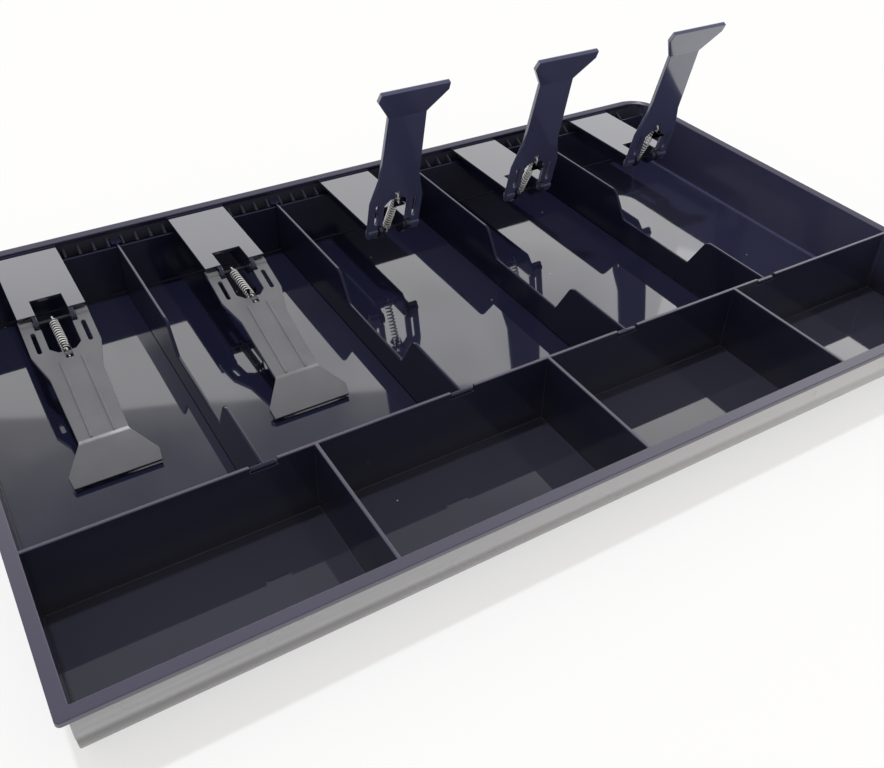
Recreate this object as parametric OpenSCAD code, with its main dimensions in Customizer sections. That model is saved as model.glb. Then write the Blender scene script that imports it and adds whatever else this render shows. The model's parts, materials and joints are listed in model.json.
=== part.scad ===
// Cash drawer insert: a moulded tray with five bill compartments, four coin cups,
// lift-out bill dividers and five sprung bill clips that flip over centre.
// X is right, Y is back, Z is up; the origin is the middle of the footprint, on the ground.

/* [Tray] */
// Width of one bill compartment, from divider to divider
bill_pitch = 78; // [72:0.5:90]
// Length of the bill section, from the middle of the cross wall to the rear edge
bill_run = 176; // [168:1:195]
// Length of the coin section, from the front edge to the middle of the cross wall
coin_run = 58.5; // [48:0.5:80]
// Depth inside, from the top of the rim to the floor
tray_depth = 30; // [28:0.5:36]
// Thickness of the floor
floor_t = 2; // [1.5:0.1:3]
// Thickness of the walls
wall_t = 1.4; // [1.2:0.1:2.4]
// Width of the rim around the inside
rim_w = 4.5; // [3.5:0.25:8]
// Thickness of the rim
rim_t = 2; // [1.5:0.1:3]
// Radius of the two rear corners of the rim
rear_corner_r = 15; // [6:0.5:20]
// Radius of the two front corners of the rim
front_corner_r = 1.5; // [1:0.25:4]
// Radius of the scooped front of the coin cups
scoop_r = 18; // [8:0.5:22]

/* [Divider rack] */
// Width of the channel behind the rear ledge
channel_w = 4.7; // [4:0.1:7]
// How far the ledge lies below the rim
ledge_drop = 6; // [5.5:0.25:8]
// Spacing of the ribs in the channel
rib_pitch = 6.5; // [5:0.25:8]
// Thickness of a rib
rib_t = 1.2; // [0.8:0.1:1.8]
// How far the ribs lie below the rim at the rear, from where they slope down to the ledge
rib_drop = 3.5; // [2:0.25:4.5]
// Width of a seat in the cross wall
seat_w = 10; // [7:0.5:14]
// Depth of a seat in the cross wall
seat_d = 2.6; // [2:0.1:4]

/* [Bill dividers] */
// Thickness of a divider
divider_t = 1.4; // [1.2:0.1:3]
// Length of the high part at the front
divider_front_l = 35; // [20:1:45]
// Length of each slope
divider_slope_l = 9; // [5:0.5:14]
// Length of the low part in the middle
divider_low_l = 47; // [30:1:60]
// How far the front part lies below the rim
divider_front_drop = 1.2; // [0.5:0.1:1.4]
// How far the low part lies below the rim
divider_low_drop = 17; // [12:0.5:20]
// How far the rear part lies below the rim
divider_rear_drop = 4.5; // [3.5:0.1:5]
// How far the key at the rear reaches down into the channel
divider_key_h = 6; // [4:0.5:12]
// Radius of the corners at the tops of the slopes
divider_corner_r = 5; // [2:0.5:8]
// Radius of the corners at the feet of the slopes
divider_hollow_r = 1.5; // [1:0.25:4]

/* [Clip seats] */
// Width of the tongue that carries a clip
tongue_w = 27; // [25:0.5:32]
// Thickness of a tongue
tongue_t = 1.6; // [1.4:0.1:2.2]
// How far a tongue lies below the rim
tongue_drop = 1.2; // [0.6:0.1:1.8]
// Distance from the rear edge to the axis of a clip
pivot_back = 52; // [48:0.5:58]
// Length of the notch behind the axis
notch_l = 12; // [11:0.5:16]
// Half the clear width between the two ears
ear_in = 6.3; // [5.5:0.1:7]
// Thickness of an ear
ear_t = 1.8; // [1.4:0.1:2.2]
// Radius of the round end of an ear
ear_r = 3.2; // [2.8:0.1:3.6]
// Material below the spring anchor in an ear
ear_foot = 2.6; // [2:0.1:4]

/* [Bill clips] */
// Thickness of a clip
clip_t = 2; // [1.6:0.1:2.4]
// Length behind the axis
clip_rear_l = 3; // [2.2:0.1:3.4]
// Half the width across the arms
clip_arm_hw = 13.6; // [12.5:0.1:15]
// Length of the straight arms in front of the axis
clip_arm_l = 17; // [15:0.5:19]
// Where the taper of the arms ends
clip_taper_l = 30; // [27:0.5:34]
// Half the width at the top of the neck
clip_neck_hw = 10.2; // [9:0.1:11.5]
// Half the width at the bend
clip_bend_hw = 9.3; // [8:0.1:11]
// Length from the axis to the bend
clip_neck_l = 63; // [56:0.5:66]
// Length of the paddle past the bend
paddle_l = 16; // [12:0.5:18]
// Half the width of the paddle
paddle_hw = 16.8; // [14:0.1:20]
// Length of the straight end of the paddle
paddle_end_l = 4.6; // [3:0.1:6]
// Cut at the two corners of the paddle
paddle_corner = 0.7; // [0.4:0.1:1.5]
// Downward bend of the paddle
paddle_deg = 16; // [8:0.5:24]
// Angle of a raised clip above the level
open_deg = 77; // [68:0.5:78]
// Radius of the stub pins
pin_r = 1.2; // [1:0.05:1.4]
// Radius of the barrel around a stub pin
barrel_r = 1.9; // [1.7:0.05:2]
// Half the width of the spring window
window_hw = 6.2; // [5:0.1:7]
// Cut at the two front corners of the spring window
window_corner = 2.8; // [1.5:0.1:3.5]
// Length of the slot in an arm
slot_l = 11.5; // [6:0.5:12]
// Width of the slot in an arm
slot_w = 1.8; // [1.2:0.1:2.2]
// Width of the two ridges on the neck
ridge_w = 0.9; // [0.6:0.1:1.4]
// Height of the two ridges on the neck
ridge_h = 0.5; // [0.3:0.05:0.8]
// Half the distance between the two ridges
ridge_hw = 4.3; // [3.5:0.1:5.5]

/* [Springs] */
// Thickness of the wire
wire_d = 0.6; // [0.5:0.05:0.7]
// Radius of the coil, to the middle of the wire
coil_r = 1.6; // [1.5:0.05:1.9]
// Curls in one spring
curls = 13; // [10:1:15]
// Distance from the axis of a clip to the bar that takes the front hook
hook_l = 19; // [17:0.5:21]
// Distance from the axis of a clip to the anchor pin
anchor_l = 8.5; // [8:0.25:9.5]

/* [Fits] */
// Room around a stub pin in its hole
run_clear = 0.05; // [0.02:0.01:0.1]
// Room around an anchor pin in its hole
press_clear = 0.02; // [0.01:0.01:0.05]
// Gap between pieces that rest on or pass each other
seat_gap = 0.3; // [0.2:0.05:0.5]

/* [Hidden] */
bills = 5;
coins = 4;
// Reach of a cut past the face that it opens
cut = 1;
// Overlap of two shapes that are one solid
join = 0.3;
// Least radius of a corner that is set in
least_r = 0.2;
// A whole turn, a half and a quarter
turn = 360;
half_turn = turn / 2;
square = turn / 4;
// Facets of a bore or pin, facets of a plain round, and steps of a long and a short arc
round_n = 40;
plain_n = 12;
arc_n = 10;
bend_n = 5;
inner_w = bills * bill_pitch;
inner_l = coin_run + bill_run;
tray_h = floor_t + tray_depth;
outer_w = inner_w + 2 * rim_w;
outer_l = inner_l + 2 * rim_w;
y_front = -inner_l / 2;
y_rear = inner_l / 2;
y_cross = y_front + coin_run;
y_bill = y_cross + wall_t / 2;
y_ledge = y_rear - channel_w - wall_t;
y_channel = y_rear - channel_w;
cup_w = (inner_w - (coins - 1) * wall_t) / coins;
// Ribs on each side of a divider's place, up to the next tongue
rib_count = floor(((bill_pitch - tongue_w) / 2 - rib_t) / rib_pitch + 1 / 2);
key_w = rib_pitch - rib_t - 2 * seat_gap;
// The pivot lies low enough for the rear end of a lowered clip to clear the tongue
rear_slope = 0.35;
tongue_top = tray_h - tongue_drop;
tongue_rise = seat_gap + clip_t / 2 + clip_rear_l * rear_slope;
pivot_drop = tongue_drop + tongue_t + tongue_rise;
pivot_y = y_rear - pivot_back;
pivot_z = tray_h - pivot_drop;
// The lowered clip rests with the end of its paddle just above the floor
rest_gap = 0.4;
rest_depth = tray_depth - pivot_drop - rest_gap;
rest_a = clip_neck_l + paddle_l * cos(paddle_deg) - clip_t / 2 * sin(paddle_deg);
rest_b = paddle_l * sin(paddle_deg) + clip_t / 2 * cos(paddle_deg);
closed_deg = asin(rest_depth / norm([rest_a, rest_b])) - atan2(rest_b, rest_a);
// The front edge of a tongue stops the raised clip
lean = square - open_deg;
stop_y = pivot_y + clip_t / 2 / cos(lean) - tongue_rise * tan(lean) + seat_gap;
arm_in = ear_in + ear_t + seat_gap;
ear_clear = ear_r + 2 * seat_gap;
slot_hw = (window_hw + clip_arm_hw) / 2;
// The hook bar and the anchor pin are alike, and the spring's hooks go round them
bar_r = coil_r - wire_d / 2 - seat_gap;
hook_room = coil_r + wire_d + 2 * seat_gap;
// Both ends of the swing leave the spring at one length
mid_deg = (open_deg - closed_deg) / 2;
half_swing = (open_deg + closed_deg) / 2;
anchor_y = pivot_y + anchor_l * cos(mid_deg);
anchor_z = pivot_z - anchor_l * sin(mid_deg);
spring_l = norm([anchor_l + hook_l * cos(half_swing), hook_l * sin(half_swing)]);
spring_half_deg = atan2(hook_l * sin(half_swing), anchor_l + hook_l * cos(half_swing));
spring_closed_deg = mid_deg - spring_half_deg;
spring_open_deg = mid_deg + spring_half_deg;
// The wire: a three-quarter hook, a straight lead, an easing, and the even coil
ring_deg = 45;
hook_n = 6;
ease_n = 4;
ease_l = 1.1;
lead_l = 1;
sides = 6;
coil_n = (curls * turn - half_turn) / ring_deg;
coil_pitch = (spring_l - 2 * lead_l - 2 * ease_l) / coil_n;

function bill_x(i) = (i - (bills + 1) / 2) * bill_pitch;
function divider_x(i) = (i - bills / 2) * bill_pitch;
function cup_x(i) = -inner_w / 2 + (i - 1) * (cup_w + wall_t);
// Points of an arc in a plane, from one angle to another
function arc(c, rx, ry, a0, a1) =
    [for (k = [0 : arc_n]) c + [rx * cos(a0 + (a1 - a0) * k / arc_n), ry * sin(a0 + (a1 - a0) * k / arc_n)]];

// The scooped front of the coin cups in the side view, from the wall down to the floor
function scoop(ry, rz) =
    arc([y_front + scoop_r, floor_t + scoop_r], ry, rz, half_turn, half_turn + square);
function unit(v) = v / norm(v);
// Points of the rounded corner b of an outline that comes from a and goes on to c
function round_corner(a, b, c, r) =
    let (u = unit(a - b), v = unit(c - b), half = acos(u * v) / 2)
    let (mid = b + unit(u + v) * r / sin(half), reach = r / tan(half))
    let (p = b + u * reach - mid, q = b + v * reach - mid)
    [for (k = [0 : bend_n]) mid + r * unit(p + (q - p) * k / bend_n)];
// The points of a half outline, followed by their mirror images in reverse
function both_halves(half) =
    concat(half, [for (k = [1 : len(half)]) [-half[len(half) - k][0], half[len(half) - k][1]]]);

// One ring of the wire's path: its place and its outward direction; along, up and across
function hook_ring(x, a) = [[x + coil_r * cos(a), coil_r * sin(a), 0], [cos(a), sin(a), 0]];
function coil_ring(x, a) = [[x, coil_r * cos(a), coil_r * sin(a)], [0, cos(a), sin(a)]];
function eased(k) = square * pow(k / ease_n, 2);
wire_rings = [
    for (k = [0 : hook_n]) hook_ring(0, turn - ring_deg * k),
    for (k = [0 : ease_n]) coil_ring(lead_l + ease_l * k / ease_n, eased(k)),
    for (k = [1 : coil_n]) coil_ring(lead_l + ease_l + coil_pitch * k, square + ring_deg * k),
    for (k = [1 : ease_n])
        coil_ring(spring_l - lead_l - ease_l + ease_l * k / ease_n, turn * curls - eased(ease_n - k)),
    for (k = [0 : hook_n]) hook_ring(spring_l, square - ring_deg * k)
];
ring_n = len(wire_rings);
function heading(k) =
    unit(wire_rings[min(k + 1, ring_n - 1)][0] - wire_rings[max(k - 1, 0)][0]);
function wire_side(k) = unit(cross(heading(k), wire_rings[k][1]));
function wire_ring(k) =
    [for (j = [0 : sides - 1])
        let (s = wire_side(k), n = cross(s, heading(k)), a = turn * j / sides)
        wire_rings[k][0] + wire_d / 2 * (cos(a) * n + sin(a) * s)];
wire_points = [for (k = [0 : ring_n - 1]) for (p = wire_ring(k)) [p[2], -p[0], p[1]]];
function corner(k, j) = k * sides + j % sides;
wire_faces = [
    for (j = [1 : sides - 2]) [0, j, j + 1],
    for (k = [0 : ring_n - 2], j = [0 : sides - 1]) [corner(k, j), corner(k + 1, j), corner(k + 1, j + 1)],
    for (k = [0 : ring_n - 2], j = [0 : sides - 1]) [corner(k, j), corner(k + 1, j + 1), corner(k, j + 1)],
    for (j = [1 : sides - 2]) [corner(ring_n - 1, 0), corner(ring_n - 1, j + 1), corner(ring_n - 1, j)]
];
// Rings closer than this along the wire are neighbours
near_n = 6;
wire_gap = min([for (i = [0 : ring_n - near_n - 1]) for (j = [i + near_n : ring_n - 1])
    norm(wire_rings[i][0] - wire_rings[j][0])]) - wire_d;
echo("least gap of a spring to itself, mm", wire_gap);
echo("pivot height and depth, lowered angle, swing", pivot_z, pivot_y, closed_deg, closed_deg + open_deg);
echo("anchor height and depth, spring angles", anchor_z, anchor_y, spring_closed_deg, spring_open_deg);

// A side view, in Y and Z, drawn out along X from x0 over the width w
module along_x(x0, w) {
    translate([x0, 0, 0])
        rotate([square, 0, square])
            linear_extrude(height = w)
                children();
}

// A round bar along X, in the middle of the width w, with n facets
module bar_x(r, w, n = round_n) {
    rotate([0, square, 0])
        cylinder(h = w, r = r, center = true, $fn = n);
}

// Plan of the rim, set in by a distance all round, drawn up from z0 over the height h
module plan_block(inset, z0, h) {
    rear_r = max(rear_corner_r - inset, least_r);
    front_r = max(front_corner_r - inset, least_r);
    xr = outer_w / 2 - inset - rear_r;
    yr = outer_l / 2 - inset - rear_r;
    xf = outer_w / 2 - inset - front_r;
    yf = outer_l / 2 - inset - front_r;
    translate([0, 0, z0])
        linear_extrude(height = h)
            polygon(concat(
                arc([xr, yr], rear_r, rear_r, 0, square),
                arc([-xr, yr], rear_r, rear_r, square, half_turn),
                arc([-xf, -yf], front_r, front_r, half_turn, half_turn + square),
                arc([xf, -yf], front_r, front_r, half_turn + square, turn)
            ));
}

// Outside of the tray below the rim, with the scooped front
module tray_shell() {
    intersection() {
        plan_block(rim_w - wall_t, 0, tray_h);
        along_x(-inner_w / 2 - wall_t, inner_w + 2 * wall_t)
            polygon(concat(
                [[y_rear + wall_t, 0], [y_rear + wall_t, tray_h], [y_front - wall_t, tray_h]],
                scoop(scoop_r + wall_t, scoop_r + floor_t)
            ));
    }
}

// Inside of one coin cup
module coin_cup() {
    y_back = y_cross - wall_t / 2;
    polygon(concat(
        [[y_back, floor_t], [y_back, tray_h + cut], [y_front, tray_h + cut]],
        scoop(scoop_r, scoop_r)
    ));
}

// Inside of the bill section, the channel behind its ledge, and the room above the ledge
module bill_section() {
    intersection() {
        plan_block(rim_w, floor_t, tray_depth + cut);
        union() {
            translate([-inner_w / 2, y_bill, floor_t])
                cube([inner_w, y_ledge - y_bill, tray_depth + cut]);
            translate([-inner_w / 2, y_channel, floor_t])
                cube([inner_w, channel_w, tray_depth + cut]);
            translate([-inner_w / 2, y_ledge - join, tray_h - ledge_drop])
                cube([inner_w, wall_t + 2 * join, ledge_drop + cut]);
        }
    }
}

// Seat in the cross wall for the front tab of a divider
module divider_seat() {
    translate([-seat_w / 2, y_cross - wall_t / 2 - join, tray_h - seat_d])
        cube([seat_w, wall_t + 2 * join, seat_d + cut]);
}

// Rib across the channel, sloping down from the rear wall to the ledge
module channel_rib() {
    foot_z = floor_t - join;
    along_x(-rib_t / 2, rib_t)
        polygon([
            [y_channel - join, foot_z], [y_rear + join, foot_z],
            [y_rear + join, tray_h - rib_drop], [y_channel - join, tray_h - ledge_drop - join]
        ]);
}

// One ear below a tongue, bored for the stub pin and for the anchor pin
module tongue_ear(x0) {
    foot_z = anchor_z - ear_foot;
    difference() {
        union() {
            along_x(x0, ear_t)
                polygon([
                    [y_rear + join, tongue_top], [stop_y + seat_gap, tongue_top], [pivot_y, pivot_z + ear_r],
                    [pivot_y - ear_r, pivot_z], [anchor_y - ear_foot, foot_z], [y_rear + join, foot_z]
                ]);
            translate([x0 + ear_t / 2, pivot_y, pivot_z])
                bar_x(ear_r, ear_t);
        }
        translate([x0 + ear_t / 2, pivot_y, pivot_z])
            bar_x(pin_r + run_clear, ear_t + 2 * cut);
        translate([x0 + ear_t / 2, anchor_y, anchor_z])
            bar_x(bar_r + press_clear, ear_t + 2 * cut);
    }
}

// Tongue with its notch and its two ears
module clip_seat() {
    difference() {
        translate([-tongue_w / 2, stop_y, tongue_top - tongue_t])
            cube([tongue_w, y_rear + join - stop_y, tongue_t]);
        translate([-ear_in, stop_y - cut, tongue_top - tongue_t - cut])
            cube([2 * ear_in, pivot_y + notch_l - stop_y + cut, tongue_t + 2 * cut]);
    }
    tongue_ear(ear_in);
    tongue_ear(-ear_in - ear_t);
}

module tray_body() {
    color([0.07, 0.07, 0.1]) {
        difference() {
            union() {
                tray_shell();
                plan_block(0, tray_h - rim_t, rim_t);
            }
            bill_section();
            for (i = [1 : coins])
                along_x(cup_x(i), cup_w)
                    coin_cup();
            for (i = [1 : bills - 1])
                translate([divider_x(i), 0, 0])
                    divider_seat();
        }
        for (i = [0 : bills], k = [1 : rib_count], s = [-1, 1])
            if (abs(divider_x(i) + s * (k - 1 / 2) * rib_pitch) < inner_w / 2 - rear_corner_r + rim_w)
                translate([divider_x(i) + s * (k - 1 / 2) * rib_pitch, 0, 0])
                    channel_rib();
        for (i = [1 : bills])
            translate([bill_x(i), 0, 0])
                clip_seat();
    }
}

// Divider: a plate with a low middle, a tab on the cross wall and a key in the rack
module divider_plate() {
    y0 = y_bill + seat_gap;
    y1 = y0 + divider_front_l;
    y2 = y1 + divider_slope_l;
    y3 = y2 + divider_low_l;
    y4 = y3 + divider_slope_l;
    y5 = y_ledge - seat_gap;
    y6 = y_rear - seat_gap;
    z_front = tray_h - divider_front_drop;
    z_low = tray_h - divider_low_drop;
    z_rear = tray_h - divider_rear_drop;
    z_foot = floor_t + seat_gap;
    z_over = tray_h - ledge_drop + seat_gap;
    z_tab = tray_h - seat_d + seat_gap;
    z_key = tray_h - ledge_drop - divider_key_h;
    y_tab = y_cross - wall_t / 2;
    tab_w = seat_w - 2 * seat_gap;
    rear = [y6, z_rear];
    top_rear = [y4, z_rear];
    low_rear = [y3, z_low];
    low_front = [y2, z_low];
    top_front = [y1, z_front];
    front = [y0, z_front];
    along_x(-divider_t / 2, divider_t)
        polygon(concat(
            [front, [y0, z_foot], [y5, z_foot], [y5, z_over], [y6, z_over], rear],
            round_corner(rear, top_rear, low_rear, divider_corner_r),
            round_corner(top_rear, low_rear, low_front, divider_hollow_r),
            round_corner(low_rear, low_front, top_front, divider_hollow_r),
            round_corner(low_front, top_front, front, divider_corner_r)
        ));
    translate([-tab_w / 2, y_tab, z_tab])
        cube([tab_w, y0 + join - y_tab, z_front - z_tab]);
    translate([-key_w / 2, y_channel + seat_gap, z_key])
        cube([key_w, y6 - y_channel - seat_gap, z_rear - z_key]);
}

module placed_divider(i) {
    color([0.08, 0.08, 0.11])
        translate([divider_x(i), 0, 0])
            divider_plate();
}

// Outline of a clip from above, forward along Y before it is turned round
module clip_outline() {
    bend_y = clip_neck_l;
    wide_y = clip_neck_l + (paddle_l - paddle_end_l) * cos(paddle_deg);
    end_y = clip_neck_l + paddle_l * cos(paddle_deg) + cut;
    half = [
        [clip_arm_hw, -clip_rear_l - cut], [clip_arm_hw, clip_arm_l], [clip_neck_hw, clip_taper_l],
        [clip_bend_hw, bend_y], [paddle_hw, wide_y], [paddle_hw - paddle_corner, end_y]
    ];
    polygon(both_halves(half));
}

// Side view of a clip: a level neck and a paddle bent down, both of one thickness
module clip_profile() {
    h = clip_t / 2;
    d = [cos(paddle_deg), -sin(paddle_deg)];
    n = [sin(paddle_deg), cos(paddle_deg)];
    bend = [clip_neck_l, 0];
    tip = bend + paddle_l * d;
    m = h * tan(paddle_deg / 2);
    polygon([
        [-clip_rear_l, -h], [clip_neck_l - m, -h], tip - h * n, tip + h * n,
        [clip_neck_l + m, h], [-clip_rear_l, h]
    ]);
}

// Window for the ears and the spring
module clip_window() {
    end_y = hook_l - bar_r;
    half = [
        [arm_in, -clip_rear_l - cut], [arm_in, ear_clear], [window_hw, ear_clear],
        [window_hw, end_y - window_corner], [window_hw - window_corner, end_y]
    ];
    polygon(both_halves(half));
}

// Slot in one arm, with round ends
module arm_slot() {
    y0 = ear_clear + slot_w;
    translate([-slot_w / 2, y0, -clip_t])
        cube([slot_w, slot_l - slot_w, 2 * clip_t]);
    for (y = [y0, y0 + slot_l - slot_w])
        translate([0, y, 0])
            cylinder(h = 2 * clip_t, d = slot_w, center = true, $fn = plain_n);
}

// Clip lying level with its axis on the origin, its paddle forward along Y
module clip_level() {
    hook_hw = hook_room / 2;
    ridge_y0 = hook_l + hook_room + ridge_w;
    difference() {
        union() {
            intersection() {
                along_x(-paddle_hw - cut, 2 * (paddle_hw + cut))
                    clip_profile();
                translate([0, 0, -clip_neck_l])
                    linear_extrude(height = 2 * clip_neck_l)
                        clip_outline();
            }
            for (s = [-1, 1])
                translate([s * (arm_in + clip_arm_hw) / 2, 0, 0])
                    bar_x(barrel_r, clip_arm_hw - arm_in, plain_n);
            for (s = [-1, 1])
                translate([s * ridge_hw - ridge_w / 2, ridge_y0, 0])
                    cube([ridge_w, clip_neck_l - ridge_w - ridge_y0, clip_t / 2 + ridge_h]);
        }
        translate([0, 0, -clip_t])
            linear_extrude(height = 2 * clip_t)
                clip_window();
        for (s = [-1, 1])
            translate([s * slot_hw, 0, 0])
                arm_slot();
        translate([-hook_hw, hook_l - 2 * bar_r, -clip_t])
            cube([2 * hook_hw, 2 * bar_r + hook_room, 2 * clip_t]);
    }
    for (s = [-1, 1])
        translate([s * (arm_in + join - (ear_t + seat_gap + join) / 2), 0, 0])
            bar_x(pin_r, ear_t + seat_gap + join);
    translate([0, hook_l, 0])
        bar_x(bar_r, 2 * (hook_hw + join));
}

module placed_clip(i, deg) {
    color([0.16, 0.16, 0.19])
        translate([bill_x(i), pivot_y, pivot_z])
            rotate([-deg, 0, 0])
                rotate([0, 0, half_turn])
                    clip_level();
}

module placed_spring(i, deg) {
    color([0.75, 0.74, 0.7])
        translate([bill_x(i), anchor_y, anchor_z])
            rotate([-deg, 0, 0])
                polyhedron(points = wire_points, faces = wire_faces);
}

module placed_pin(i) {
    color([0.6, 0.6, 0.62])
        translate([bill_x(i), anchor_y, anchor_z])
            bar_x(bar_r, 2 * (ear_in + ear_t));
}

module bill_divider_1() {
    placed_divider(1);
}

module bill_divider_2() {
    placed_divider(2);
}

module bill_divider_3() {
    placed_divider(3);
}

module bill_divider_4() {
    placed_divider(4);
}

module bill_clip_1() {
    placed_clip(1, -closed_deg);
}

module bill_clip_2() {
    placed_clip(2, -closed_deg);
}

module bill_clip_3() {
    placed_clip(3, open_deg);
}

module bill_clip_4() {
    placed_clip(4, open_deg);
}

module bill_clip_5() {
    placed_clip(5, open_deg);
}

module clip_spring_1() {
    placed_spring(1, spring_closed_deg);
}

module clip_spring_2() {
    placed_spring(2, spring_closed_deg);
}

module clip_spring_3() {
    placed_spring(3, spring_open_deg);
}

module clip_spring_4() {
    placed_spring(4, spring_open_deg);
}

module clip_spring_5() {
    placed_spring(5, spring_open_deg);
}

module anchor_pin_1() {
    placed_pin(1);
}

module anchor_pin_2() {
    placed_pin(2);
}

module anchor_pin_3() {
    placed_pin(3);
}

module anchor_pin_4() {
    placed_pin(4);
}

module anchor_pin_5() {
    placed_pin(5);
}

tray_body();
bill_divider_1();
bill_divider_2();
bill_divider_3();
bill_divider_4();
bill_clip_1();
bill_clip_2();
bill_clip_3();
bill_clip_4();
bill_clip_5();
clip_spring_1();
clip_spring_2();
clip_spring_3();
clip_spring_4();
clip_spring_5();
anchor_pin_1();
anchor_pin_2();
anchor_pin_3();
anchor_pin_4();
anchor_pin_5();
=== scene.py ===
import json
import math

import bpy
from mathutils import Matrix, Vector


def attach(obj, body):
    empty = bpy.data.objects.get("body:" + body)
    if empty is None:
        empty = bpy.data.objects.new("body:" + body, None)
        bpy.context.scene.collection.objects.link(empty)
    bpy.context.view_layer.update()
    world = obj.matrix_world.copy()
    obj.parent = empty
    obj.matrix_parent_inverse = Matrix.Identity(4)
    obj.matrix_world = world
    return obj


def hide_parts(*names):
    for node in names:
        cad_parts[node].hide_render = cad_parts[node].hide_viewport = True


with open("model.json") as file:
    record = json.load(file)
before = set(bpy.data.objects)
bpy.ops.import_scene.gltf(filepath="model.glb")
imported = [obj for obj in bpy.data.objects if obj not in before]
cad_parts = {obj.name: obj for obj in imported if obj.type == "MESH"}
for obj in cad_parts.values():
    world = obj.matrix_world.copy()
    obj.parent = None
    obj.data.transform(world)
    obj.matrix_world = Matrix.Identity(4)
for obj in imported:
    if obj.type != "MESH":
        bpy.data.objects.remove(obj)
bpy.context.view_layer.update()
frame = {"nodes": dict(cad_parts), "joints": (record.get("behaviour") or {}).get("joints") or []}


# View: the tray is seen from its front left corner and from above, from about 40 cm away.
# The camera stands where the rim, the cross wall and the clips fall on their places in the picture.
view_lens = 38.2561
view_sensor = 36
view_place = (-0.18693, -0.28038, 0.24954)
view_right = Vector((0.85584, -0.51679, 0.02161)).normalized()
view_ahead = Vector((0.41328, 0.65812, -0.62933)).normalized()
view_up = view_right.cross(view_ahead)
view_turn = Matrix((view_right, view_up, -view_ahead)).transposed().to_4x4()
camera_data = bpy.data.cameras.new("view")
camera_data.lens = view_lens
camera_data.sensor_width = view_sensor
camera = bpy.data.objects.new("view", camera_data)
camera.matrix_world = Matrix.Translation(view_place) @ view_turn
bpy.context.scene.collection.objects.link(camera)
bpy.context.scene.camera = camera
bpy.context.scene.view_settings.view_transform = "Standard"


# Table and light: a plain white table in a white room, darker overhead, at the left and at the viewer's back.
# A lamp overhead, a little behind the tray, throws the narrow shade in front of it; a wide white
# panel at the back and a small window at the right are what the glossy plastic mirrors.
room_stops = (
    (0.50, (1, 1, 1, 1)),
    (0.54, (0.78, 0.78, 0.77, 1)),
    (0.63, (0.74, 0.74, 0.73, 1)),
    (0.72, (0.26, 0.26, 0.30, 1)))
room_near_y = (-0.05, -0.35)
room_near_colour = (0.22, 0.22, 0.26, 1)
room_left_x = (-0.02, -0.28)
room_left_colour = (0.30, 0.30, 0.36, 1)
room_fold_scale = 7.0
room_fold_span = (0.45, 0.60)
room_fold_most = 0.55
room_fold_z = (0.50, 0.55)
room_fold_colour = (0.25, 0.25, 0.27, 1)
daylight_colour = (1.0, 0.965, 0.93, 1)
daylight_strength = 0.62
table_size = 12
table_z = -0.0002
table_colour = (0.99, 0.97, 0.95, 1)
table_rough = 0.9
table_ior = 1.05
table_glow = 0.63
glow_colour = (1, 1, 1, 1)
white_strength = 1.0
lamp_energy = 1.3
lamp_colour = (0.94, 1.0, 1.06)
lamp_angle = math.radians(3)
lamp_way = (0.02, -0.14, -1)


def put(tree, kind, inputs=None, **settings):
    """Add one node, with its settings, and set or link its inputs."""
    made = tree.nodes.new(kind)
    for key, value in settings.items():
        setattr(made, key, value)
    for key, value in (inputs or {}).items():
        if isinstance(value, bpy.types.NodeSocket):
            tree.links.new(value, made.inputs[key])
        else:
            made.inputs[key].default_value = value
    return made


def sums(tree, operation, first, second=0.0):
    """One sum of two values."""
    return put(tree, "ShaderNodeMath", {0: first, 1: second}, operation=operation).outputs[0]


def ramp(tree, value, span, most=1.0):
    """A straight rise from 0 to its most."""
    ends = {"Value": value, "From Min": span[0], "From Max": span[1], "To Max": most}
    return put(tree, "ShaderNodeMapRange", ends).outputs[0]


def mix(tree, share, first, second):
    """One colour that gives way to another."""
    return put(tree, "ShaderNodeMix", {0: share, 6: first, 7: second}, data_type="RGBA").outputs[2]


def noise(tree, place, scale, detail):
    """A soft noise from 0 to 1."""
    return put(tree, "ShaderNodeTexNoise", {"Vector": place, "Scale": scale, "Detail": detail}).outputs[0]


def looked_at(tree):
    """1 for rays from the camera, also by way of a mirror or a pane, and 1 for its straight rays alone."""
    ray = put(tree, "ShaderNodeLightPath").outputs
    seen = sums(tree, "MAXIMUM", ray["Is Camera Ray"], ray["Is Glossy Ray"])
    return sums(tree, "MAXIMUM", seen, ray["Is Transmission Ray"]), ray["Is Camera Ray"]


def mirrored_lamp(name, wide, tall, energy, place, aim):
    """An area lamp that shows only as a mirror image."""
    data = bpy.data.lights.new(name, "AREA")
    data.shape = "RECTANGLE"
    data.size = wide
    data.size_y = tall
    data.energy = energy
    made = bpy.data.objects.new(name, data)
    made.location = place
    made.rotation_euler = (Vector(aim) - Vector(place)).to_track_quat("-Z", "Y").to_euler()
    made.visible_camera = False
    made.visible_diffuse = False
    bpy.context.scene.collection.objects.link(made)


room = bpy.data.worlds.new("white_room")
bpy.context.scene.world = room
room.use_nodes = True
tree = room.node_tree
tree.nodes.clear()
shown, straight = looked_at(tree)
unseen = sums(tree, "SUBTRACT", 1.0, straight)
direction = put(tree, "ShaderNodeTexCoord").outputs["Generated"]
x, y, z = put(tree, "ShaderNodeSeparateXYZ", {0: direction}).outputs
ceiling = put(tree, "ShaderNodeValToRGB", {0: z})
stops = ceiling.color_ramp.elements
stops[0].position, stops[0].color = room_stops[0]
stops[1].position, stops[1].color = room_stops[-1]
for stop, colour in room_stops[1:-1]:
    stops.new(stop).color = colour
near = sums(tree, "MULTIPLY", ramp(tree, y, room_near_y), unseen)
walls = mix(tree, near, ceiling.outputs["Color"], room_near_colour)
left = sums(tree, "MULTIPLY", ramp(tree, x, room_left_x), unseen)
screened = mix(tree, left, walls, room_left_colour)
crumple = noise(tree, direction, room_fold_scale, detail=2.0)
folds = ramp(tree, crumple, room_fold_span, room_fold_most)
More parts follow.
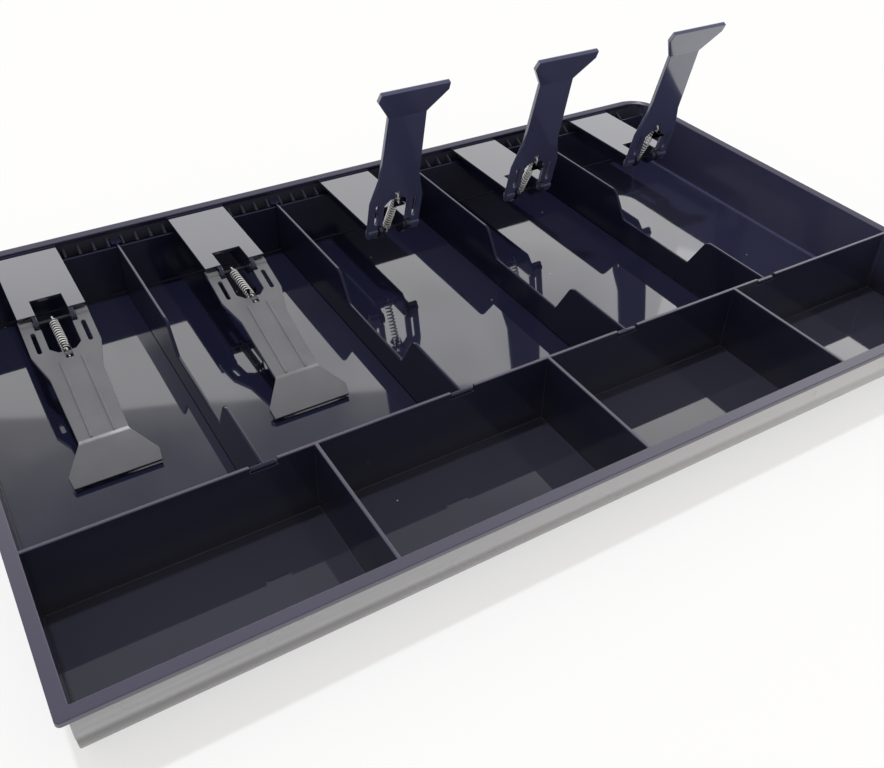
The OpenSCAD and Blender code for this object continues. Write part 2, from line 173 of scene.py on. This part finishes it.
folds = sums(tree, "MULTIPLY", folds, ramp(tree, z, room_fold_z))
draped = mix(tree, sums(tree, "MULTIPLY", folds, unseen), screened, room_fold_colour)
backdrop = put(tree, "ShaderNodeBackground", {"Color": draped, "Strength": white_strength})
daylight = put(tree, "ShaderNodeBackground", {"Color": daylight_colour, "Strength": daylight_strength})
room_light = put(tree, "ShaderNodeMixShader", {0: shown, 1: daylight.outputs[0], 2: backdrop.outputs[0]})
put(tree, "ShaderNodeOutputWorld", {"Surface": room_light.outputs[0]})

bpy.ops.object.select_all(action="DESELECT")
bpy.ops.mesh.primitive_plane_add(size=table_size, location=(0, 0, table_z))
table = bpy.context.object
table.name = "table"
table_white = bpy.data.materials.new("table_white")
table_white.use_nodes = True
tree = table_white.node_tree
shader = tree.nodes["Principled BSDF"]
shader.inputs["Base Color"].default_value = table_colour
shader.inputs["Roughness"].default_value = table_rough
shader.inputs["IOR"].default_value = table_ior
share = sums(tree, "MULTIPLY", looked_at(tree)[0], table_glow)
glow = put(tree, "ShaderNodeEmission", {"Color": glow_colour, "Strength": white_strength})
bright = put(tree, "ShaderNodeMixShader", {0: share, 1: shader.outputs[0], 2: glow.outputs[0]})
tree.links.new(bright.outputs[0], tree.nodes["Material Output"].inputs["Surface"])
table.data.materials.append(table_white)

lamp_data = bpy.data.lights.new("lamp_behind", "SUN")
lamp_data.energy = lamp_energy
lamp_data.color = lamp_colour
lamp_data.angle = lamp_angle
lamp = bpy.data.objects.new("lamp_behind", lamp_data)
lamp.rotation_euler = Vector(lamp_way).to_track_quat("-Z", "Y").to_euler()
lamp.visible_glossy = False
bpy.context.scene.collection.objects.link(lamp)
mirrored_lamp(
    "panel_behind", wide=4.6, tall=1.2, energy=15.6,
    place=(0.735, 1.713, 0.82), aim=(0, 0, 0.03))
mirrored_lamp(
    "window_right", wide=0.72, tall=0.6, energy=0.95,
    place=(1.45, 0.76, 1.20), aim=(0.1, -0.09, 0))


# Tray: one moulding of very dark blue-black styrene with rim, walls, floors, ribs and tongues.
# The floors and tongues came out of the mould like mirrors; the rim has a fine satin grain,
# and a little dust lies on the floors. The front wall carries a streaky painted reflection, paler to the
# right, with painted shade low down and a painted contact shadow along its bottom edge; the right part of the
# tray, the right end wall and the coin cups are painted lighter as painted reflection. Each span below is
# where a mask starts and where it is full.
tray_edge = 0.0003
tray_ior = 2.0
bill_pitch = 0.078
wall_x = 0.1966
wall_y = 0.1189
lip_z = (0.0297, 0.0300)
lip_out = (-0.0002, 0.0002)
rim_z = (0.0314, 0.0318)
rear_rim_y = (0.1166, 0.1170)
right_rim_x = (0.1944, 0.1948)
tongue_x = (0.0136, 0.0132)
tongue_y = (0.0648, 0.0656)
tongue_low_z = (0.0300, 0.0304)
tongue_high_z = (0.0313, 0.0310)
channel_y = (0.1122, 0.1126)
channel_z = (0.0300, 0.0296)
floor_z = (0.0027, 0.0022)
corner_low_z = (0.00202, 0.00206)
corner_high_z = (0.0027, 0.0024)
cup_y = (-0.0590, -0.0595)
cup_z = (0.0200, 0.0030)
front_y = (-0.1174, -0.1178)
front_z = (0.0300, 0.0297)
front_knee_z = 0.020
front_slope = -0.28
foot_z = (0.0200, 0.0165)
base_line_z = (0.0104, 0.0098)
calm_y = (-0.1150, -0.1130)
rightward_x = (-0.20, 0.20)
far_right_x = (0.09, 0.20)
end_wall_x = (0.1920, 0.1945)
cloud_scale = 22.0
grain_scale = 1500.0
grain_strength = 0.25
grain_depth = 0.00008
wave_scale = 14.0
wave_strength = 0.25
wave_depth = 0.0006
front_streak_stretch = (4.0, 4.0, 420.0)
speck_scale = 30.0
speck_r = (0.0105, 0.006)
speck_share = (0.80, 0.81)
body_dark = (0.0110, 0.0115, 0.0300, 1)
body_light = (0.0150, 0.0155, 0.0380, 1)
# Painted reflection: the right part of the tray is painted lighter than the rest.
far_right_sheen_colour = (0.024, 0.025, 0.056, 1)
# Painted reflection: the right end wall is painted lighter still.
end_wall_sheen_colour = (0.070, 0.072, 0.150, 1)
# Painted reflection: the floors and lower walls of the coin cups are painted lighter.
cup_sheen_colour = (0.031, 0.030, 0.046, 1)
rim_colour = (0.046, 0.040, 0.078, 1)
# Front wall colours: a painted reflection of the white table, streaky and paler to the right.
front_reflection_dark = (0.20, 0.20, 0.22, 1)
front_reflection_light = (0.40, 0.40, 0.41, 1)
front_right_reflection_colour = (0.52, 0.51, 0.51, 1)
# Colours of the painted shade on the lower, curved-under strip of the front wall.
foot_left_shade_colour = (0.095, 0.090, 0.095, 1)
foot_right_shade_colour = (0.36, 0.345, 0.345, 1)
# Colour of the painted contact shadow along the bottom edge of the front wall.
base_line_shadow_colour = (0.050, 0.036, 0.034, 1)
dust_colour = (0.60, 0.60, 0.58, 1)
tray_rough = 0.09
tray_rough_more = 0.05
mirror_less_rough = 0.075
rim_more_rough = 0.30
far_rim_more_rough = 0.40
front_more_rough = 0.16
hollow_more_rough = 0.7
dust_more_rough = 0.6


def soften(node, edge, segments):
    """Merge a CAD node's triangles into whole faces and round its sharp edges, as a mould leaves them."""
    merge = node.modifiers.new("merge", "WELD")
    merge.merge_threshold = 0.000002
    faces = node.modifiers.new("whole_faces", "DECIMATE")
    faces.decimate_type = "DISSOLVE"
    faces.angle_limit = math.radians(0.8)
    rounded = node.modifiers.new("rounded_edges", "BEVEL")
    rounded.limit_method = "ANGLE"
    rounded.angle_limit = math.radians(32)
    rounded.width = edge
    rounded.segments = segments
    rounded.use_clamp_overlap = False
    flats = node.modifiers.new("flat_faces", "WEIGHTED_NORMAL")
    flats.weight = 100


def step(tree, value, span):
    """A soft step from 0 to 1."""
    ends = {"Value": value, "From Min": span[0], "From Max": span[1]}
    return put(tree, "ShaderNodeMapRange", ends, interpolation_type="SMOOTHSTEP").outputs[0]


def spread(tree, share, least, more):
    """A value that lies between its least and that much more."""
    return sums(tree, "ADD", sums(tree, "MULTIPLY", share, more), least)


def bump(tree, height, strength, depth, **below):
    """A relief, on its own or over the one below."""
    relief = {"Height": height, "Strength": strength, "Distance": depth, **below}
    return put(tree, "ShaderNodeBump", relief).outputs[0]


def blank(name):
    """A new material with its tree, its shader and the object's own coordinates."""
    made = bpy.data.materials.new(name)
    made.use_nodes = True
    tree = made.node_tree
    place = put(tree, "ShaderNodeTexCoord").outputs["Object"]
    return made, tree, tree.nodes["Principled BSDF"], place


def dress(node, made):
    """Give a CAD node its material."""
    node.data.materials.clear()
    node.data.materials.append(made)


tray = frame["nodes"]["tray_body"]
soften(tray, tray_edge, segments=2)
tray_gloss, tree, shader, place = blank("tray_gloss")
x, y, z = put(tree, "ShaderNodeSeparateXYZ", {0: place}).outputs
halves = {0: x, 1: bill_pitch / 2, 2: -bill_pitch / 2}
across = sums(tree, "ABSOLUTE", put(tree, "ShaderNodeMath", halves, operation="WRAP").outputs[0])
side = sums(tree, "SUBTRACT", sums(tree, "ABSOLUTE", x), wall_x)
end = sums(tree, "SUBTRACT", sums(tree, "ABSOLUTE", y), wall_y)
outside = step(tree, sums(tree, "MAXIMUM", side, end), lip_out)
lip = sums(tree, "MULTIPLY", step(tree, z, lip_z), outside)
satin = sums(tree, "MAXIMUM", step(tree, z, rim_z), lip)
far_rims = sums(tree, "MAXIMUM", step(tree, y, rear_rim_y), step(tree, x, right_rim_x))
dull = sums(tree, "MULTIPLY", far_rims, satin)
tongue = sums(tree, "MULTIPLY", step(tree, across, tongue_x), step(tree, y, tongue_y))
tongue_top = sums(tree, "MULTIPLY", step(tree, z, tongue_low_z), step(tree, z, tongue_high_z))
tongue = sums(tree, "MULTIPLY", tongue, tongue_top)
channel = sums(tree, "MULTIPLY", step(tree, y, channel_y), step(tree, z, channel_z))
floor = step(tree, z, floor_z)
corner = sums(tree, "MULTIPLY", step(tree, z, corner_low_z), step(tree, z, corner_high_z))
cup = sums(tree, "MULTIPLY", step(tree, z, cup_z), step(tree, y, cup_y))
below_knee = sums(tree, "MAXIMUM", sums(tree, "SUBTRACT", front_knee_z, z), 0.0)
hull = sums(tree, "ADD", y, sums(tree, "MULTIPLY", below_knee, front_slope))
front = sums(tree, "MULTIPLY", step(tree, hull, front_y), step(tree, z, front_z))
rightward = step(tree, x, rightward_x)
cells = put(
    tree, "ShaderNodeTexVoronoi", {"Vector": place, "Scale": speck_scale, "Randomness": 1.0},
    voronoi_dimensions="2D").outputs
pick = put(tree, "ShaderNodeSeparateColor", {0: cells["Color"]}).outputs[0]
speck = sums(tree, "MULTIPLY", step(tree, cells["Distance"], speck_r), step(tree, pick, speck_share))
dust = sums(tree, "MULTIPLY", speck, floor)
cloud = noise(tree, place, cloud_scale, detail=4.0)
body = mix(tree, cloud, body_dark, body_light)
# Painted reflection: the right part of the tray turns lighter.
right_painted_sheen = mix(tree, step(tree, x, far_right_x), body, far_right_sheen_colour)
# Painted reflection on the right end wall.
end_wall_painted_sheen = mix(tree, step(tree, x, end_wall_x), right_painted_sheen, end_wall_sheen_colour)
# Painted reflection: the coin cups turn lighter towards their floors.
cups_painted_sheen = mix(tree, cup, end_wall_painted_sheen, cup_sheen_colour)
rim = mix(tree, satin, cups_painted_sheen, rim_colour)
# Painted reflection on the front wall: horizontal streaks, then paler towards the right.
drawn = put(tree, "ShaderNodeMapping", {"Vector": place, "Scale": front_streak_stretch}).outputs[0]
front_painted_reflection = mix(tree, noise(tree, drawn, 1.0, detail=3.0), front_reflection_dark, front_reflection_light)
lit = mix(tree, rightward, front_painted_reflection, front_right_reflection_colour)
# Painted shade: the lower strip of the front wall is darker, lighter again towards the right.
foot = mix(tree, rightward, foot_left_shade_colour, foot_right_shade_colour)
shaded = mix(tree, step(tree, z, foot_z), lit, foot)
# Painted contact shadow: a thin dark line along the bottom edge of the front wall.
base_painted_shadow = mix(tree, step(tree, z, base_line_z), shaded, base_line_shadow_colour)
faced = mix(tree, front, rim, base_painted_shadow)
tree.links.new(mix(tree, dust, faced, dust_colour), shader.inputs["Base Color"])
mirror = sums(tree, "MULTIPLY", sums(tree, "MAXIMUM", floor, tongue), mirror_less_rough)
rough = sums(tree, "SUBTRACT", spread(tree, cloud, tray_rough, tray_rough_more), mirror)
hollows = sums(tree, "MAXIMUM", channel, corner)
for mask, more in (
        (satin, rim_more_rough), (dull, far_rim_more_rough), (front, front_more_rough),
        (hollows, hollow_more_rough), (dust, dust_more_rough)):
    rough = spread(tree, mask, rough, more)
tree.links.new(rough, shader.inputs["Roughness"])
wave = noise(tree, place, wave_scale, detail=1.0)
calm = sums(tree, "MULTIPLY", step(tree, y, calm_y), wave_strength)
ripple = bump(tree, wave, calm, wave_depth)
grain = sums(tree, "MULTIPLY", noise(tree, place, grain_scale, detail=2.0), satin)
leather = bump(tree, grain, grain_strength, grain_depth, Normal=ripple)
tree.links.new(leather, shader.inputs["Normal"])
shader.inputs["IOR"].default_value = tray_ior
dress(tray, tray_gloss)


# Dividers: thin plates of the same dark styrene, low in the middle so that fingers reach the notes.
# Each hangs by a tab on the cross wall and a key in the rack, and its edges are rounded over.
divider_edge = 0.0005
divider_ior = 1.5
divider_cloud_scale = 30.0
divider_wave_scale = 18.0
divider_wave_strength = 0.3
divider_rough = 0.08
divider_rough_more = 0.06
divider_gloss, tree, shader, place = blank("divider_gloss")
cloud = noise(tree, place, divider_cloud_scale, detail=4.0)
tree.links.new(mix(tree, cloud, body_dark, body_light), shader.inputs["Base Color"])
tree.links.new(spread(tree, cloud, divider_rough, divider_rough_more), shader.inputs["Roughness"])
wave = noise(tree, place, divider_wave_scale, detail=1.0)
tree.links.new(bump(tree, wave, divider_wave_strength, wave_depth), shader.inputs["Normal"])
shader.inputs["IOR"].default_value = divider_ior
for number in range(1, 5):
    plate = frame["nodes"]["bill_divider_%d" % number]
    soften(plate, divider_edge, segments=3)
    dress(plate, divider_gloss)


# Clips: forked levers of dark grey plastic with stub pins that snap into the ears below the tongues.
# Their tops have a fine matt grain and their undersides are smooth, their dark blue lifted by a painted
# reflection.
# Use has whitened their bends, most of all that of the first one.
clip_edge = 0.00022
clip_ior = 2.3
clip_bend = 0.063
clip_paddle_slope = math.tan(math.radians(16))
clip_raised = 77
clip_whitened = {1: 0.9, 2: 0.25, 3: 0.35, 4: 0.1, 5: 0.1}
clip_top_z = (0.0004, 0.0008)
clip_grain_scale = 1300.0
clip_grain_strength = 0.35
clip_cloud_scale = 60.0
crease_off = (0.0011, 0.0002)
crease_cloud = (0.30, 0.62)
crease_colour = (0.62, 0.62, 0.64, 1)
clip_top_dark = (0.105, 0.105, 0.114, 1)
clip_top_light = (0.190, 0.190, 0.199, 1)
# The undersides' own dark blue, lifted by a painted reflection.
clip_under_colour_and_sheen = (0.066, 0.072, 0.150, 1)
clip_rough = 0.06
clip_rough_more = 0.05
clip_top_more_rough = 0.56
hinges = {joint["name"]: joint for joint in frame["joints"]}


def clip_angle(number):
    """How far a clip stands above the level at rest, from what is left of its swing, in degrees."""
    return clip_raised - hinges["clip_%d_hinge" % number]["range_deg"][1]


for number in range(1, 6):
    clip = frame["nodes"]["bill_clip_%d" % number]
    soften(clip, clip_edge, segments=2)
    clip_matt, tree, shader, place = blank("clip_matt_%d" % number)
    level = put(tree, "ShaderNodeMapping", {
        "Vector": place, "Location": hinges["clip_%d_hinge" % number]["pos_m"],
        "Rotation": (math.radians(-clip_angle(number)), 0, 0)}, vector_type="TEXTURE").outputs[0]
    x, y, z = put(tree, "ShaderNodeSeparateXYZ", {0: level}).outputs
    ahead = sums(tree, "MULTIPLY", y, -1.0)
    from_bend = sums(tree, "SUBTRACT", ahead, clip_bend)
    drop = sums(tree, "MULTIPLY", sums(tree, "MAXIMUM", from_bend, 0.0), clip_paddle_slope)
    top = step(tree, sums(tree, "ADD", z, drop), clip_top_z)
    cloud = noise(tree, level, clip_cloud_scale, detail=4.0)
    at_bend = step(tree, sums(tree, "ABSOLUTE", from_bend), crease_off)
    crease = sums(tree, "MULTIPLY", at_bend, step(tree, cloud, crease_cloud))
    crease = sums(tree, "MULTIPLY", sums(tree, "MULTIPLY", crease, top), clip_whitened[number])
    # Tops in grey grain; undersides in their dark blue with a painted reflection.
    faces = mix(tree, top, clip_under_colour_and_sheen, mix(tree, cloud, clip_top_dark, clip_top_light))
    tree.links.new(mix(tree, crease, faces, crease_colour), shader.inputs["Base Color"])
    smooth = spread(tree, cloud, clip_rough, clip_rough_more)
    tree.links.new(spread(tree, top, smooth, clip_top_more_rough), shader.inputs["Roughness"])
    grain = sums(tree, "MULTIPLY", noise(tree, level, clip_grain_scale, detail=2.0), top)
    tree.links.new(bump(tree, grain, clip_grain_strength, grain_depth), shader.inputs["Normal"])
    shader.inputs["IOR"].default_value = clip_ior
    dress(clip, clip_matt)


# Springs: close coils of bright drawn steel wire with a hook at each end; the wire's shine is a painted sheen
# in its near-white colour, and painted shade darkens the insides of the coils.
# One hook goes round the anchor pin between the ears, the other round the bar of the clip's window.
spring_wire_r = 0.00036
spring_coil_r = 0.00156
spring_curls = 13
spring_bar_reach = 0.019
spring_lead = 0.0010
spring_ease = 0.0010
spring_hook_angle = math.radians(270)
spring_facets = 12
spring_hook_steps = 22
spring_half_curl_steps = 14
spring_ease_steps = 8
spring_tolerance = 1e-7
spring_smooth_angle = math.radians(60)
spring_metallic = 0.12
spring_ior = 1.9
spring_drawn_scale = 2600.0
# Near-white wire with little metal: a painted sheen in place of the steel's reflection, with a fine drawn
# grain.
spring_dark = (0.90, 0.88, 0.84, 1)
spring_light = (0.99, 0.98, 0.95, 1)
# Colour of the painted shade on the inner side of the coils.
spring_inner_shade_colour = (0.045, 0.042, 0.040, 1)
spring_rough = 0.32
spring_rough_more = 0.14


def spring_way(number):
    """From a spring's anchor pin to the bar of its clip that takes the front hook."""
    turn = math.radians(clip_angle(number))
    pivot = Vector(hinges["clip_%d_hinge" % number]["pos_m"])
    bar = pivot + spring_bar_reach * Vector((0, -math.cos(turn), math.sin(turn)))
    return bar - Vector(hinges["spring_%d_swing" % number]["pos_m"])


def wire_ring():
    """The round section of the wire, at the origin and alone in the selection."""
    bpy.ops.object.select_all(action="DESELECT")
    bpy.ops.mesh.primitive_circle_add(vertices=spring_facets, radius=spring_wire_r, location=(0, 0, 0))
    made = bpy.context.object
    bpy.ops.object.mode_set(mode="EDIT")
    bpy.ops.mesh.select_all(action="SELECT")
    return made


def pick_edges(made, wanted):
    """Select the edges whose two ends the test wants, and go on in edge mode."""
    bpy.ops.object.mode_set(mode="OBJECT")
    for face in made.data.polygons:
        face.select = False
    for vertex in made.data.vertices:
        vertex.select = False
    for edge in made.data.edges:
        edge.select = all(wanted(made.data.vertices[v].co) for v in edge.vertices)
    bpy.ops.object.mode_set(mode="EDIT")
    bpy.ops.mesh.select_mode(type="EDGE")


def wire_hook(end, way):
    """Three quarters of a ring round a pin, and the straight wire that leads to the coil."""
    made = wire_ring()
    bpy.ops.transform.translate(value=(0, spring_coil_r, end))
    bpy.ops.mesh.spin(
        steps=spring_hook_steps, angle=spring_hook_angle, center=(0, 0, end), axis=(-way, 0, 0))
    bpy.ops.mesh.edge_face_add()
    pick_edges(made, lambda at: abs(at.z - end) < spring_tolerance and at.y > 0)
    bpy.ops.mesh.extrude_region_move(TRANSFORM_OT_translate={"value": (0, 0, way * spring_lead)})
    bpy.ops.object.mode_set(mode="OBJECT")
    return made


spring_length = spring_way(1).length
near_coil = spring_lead + spring_ease
far_coil = spring_length - spring_lead - spring_ease
hook_near = wire_hook(0, 1)
hook_far = wire_hook(spring_length, -1)
spring = wire_ring()
bpy.ops.transform.rotate(value=math.radians(90), orient_axis="X", center_override=(0, 0, 0))
bpy.ops.transform.translate(value=(spring_coil_r, 0, near_coil))
bpy.ops.object.mode_set(mode="OBJECT")
coil = spring.modifiers.new("coil", "SCREW")
coil.axis = "Z"
coil.angle = math.radians(-180)
coil.iterations = 2 * spring_curls - 1
coil.screw_offset = (far_coil - near_coil) / coil.iterations
coil.steps = spring_half_curl_steps
coil.render_steps = spring_half_curl_steps
bpy.ops.object.modifier_apply(modifier="coil")
hook_near.select_set(True)
hook_far.select_set(True)
bpy.ops.object.join()
uses = {}
for face in spring.data.polygons:
    for key in face.edge_keys:
        uses[key] = uses.get(key, 0) + 1
rims = {v for key, count in uses.items() if count == 1 for v in key}
rim_places = {tuple(spring.data.vertices[v].co) for v in rims}
for lower, upper in ((-1, spring_length / 2), (spring_length / 2, 1)):
    pick_edges(spring, lambda at: tuple(at) in rim_places and lower < at.z < upper)
    bpy.ops.mesh.bridge_edge_loops(number_cuts=spring_ease_steps, interpolation="PATH", smoothness=1.0)
bpy.ops.mesh.select_all(action="SELECT")
bpy.ops.mesh.normals_make_consistent(inside=False)
bpy.ops.object.mode_set(mode="OBJECT")
bpy.ops.object.shade_smooth_by_angle(angle=spring_smooth_angle)
# Painted shade: the inner side of each coil turn, where the back turns show through the gaps, is marked dark.
inner = spring.data.attributes.new("inner", "FLOAT", "POINT")
for vertex in spring.data.vertices:
    out = (math.hypot(vertex.co.x, vertex.co.y) - spring_coil_r) / spring_wire_r
    in_coil = near_coil < vertex.co.z < far_coil
    inner.data[vertex.index].value = min(1, max(0, 1 - 2 * out)) if in_coil else 0

spring_steel, tree, shader, place = blank("spring_steel")
# The painted shade inside the coils.
inner_painted_shade = put(tree, "ShaderNodeAttribute", attribute_name="inner").outputs["Fac"]
drawn = noise(tree, place, spring_drawn_scale, detail=2.0)
# The drawn grain over the painted sheen of the wire.
wire_grain_and_sheen = mix(tree, drawn, spring_dark, spring_light)
tree.links.new(mix(tree, inner_painted_shade, wire_grain_and_sheen, spring_inner_shade_colour), shader.inputs["Base Color"])
tree.links.new(spread(tree, drawn, spring_rough, spring_rough_more), shader.inputs["Roughness"])
shader.inputs["Metallic"].default_value = spring_metallic
shader.inputs["IOR"].default_value = spring_ior
spring.data.materials.append(spring_steel)
for number in range(1, 6):
    bpy.ops.object.select_all(action="DESELECT")
    spring.select_set(True)
    bpy.context.view_layer.objects.active = spring
    bpy.ops.object.duplicate()
    placed = bpy.context.object
    placed.name = "coil_spring_%d" % number
    way = spring_way(number)
    placed.location = hinges["spring_%d_swing" % number]["pos_m"]
    placed.rotation_euler = (math.radians(90) - math.atan2(way.z, -way.y), 0, 0)
    bpy.ops.object.transform_apply(location=True, rotation=True, scale=True)
    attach(placed, "spring_%d" % number)
    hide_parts("clip_spring_%d" % number)
bpy.data.objects.remove(spring)


# Anchor pins: short lengths of plain steel wire pressed through the ears of each tongue.
# They take the rear hooks of the springs and have dulled with age.
pin_edge = 0.0001
pin_metallic = 1.0
pin_drawn_scale = 1800.0
pin_dark = (0.10, 0.10, 0.11, 1)
pin_light = (0.20, 0.20, 0.21, 1)
pin_rough = 0.2
pin_rough_more = 0.2
pin_steel, tree, shader, place = blank("pin_steel")
drawn = noise(tree, place, pin_drawn_scale, detail=3.0)
tree.links.new(mix(tree, drawn, pin_dark, pin_light), shader.inputs["Base Color"])
tree.links.new(spread(tree, drawn, pin_rough, pin_rough_more), shader.inputs["Roughness"])
shader.inputs["Metallic"].default_value = pin_metallic
for number in range(1, 6):
    pin = frame["nodes"]["anchor_pin_%d" % number]
    soften(pin, pin_edge, segments=2)
    dress(pin, pin_steel)
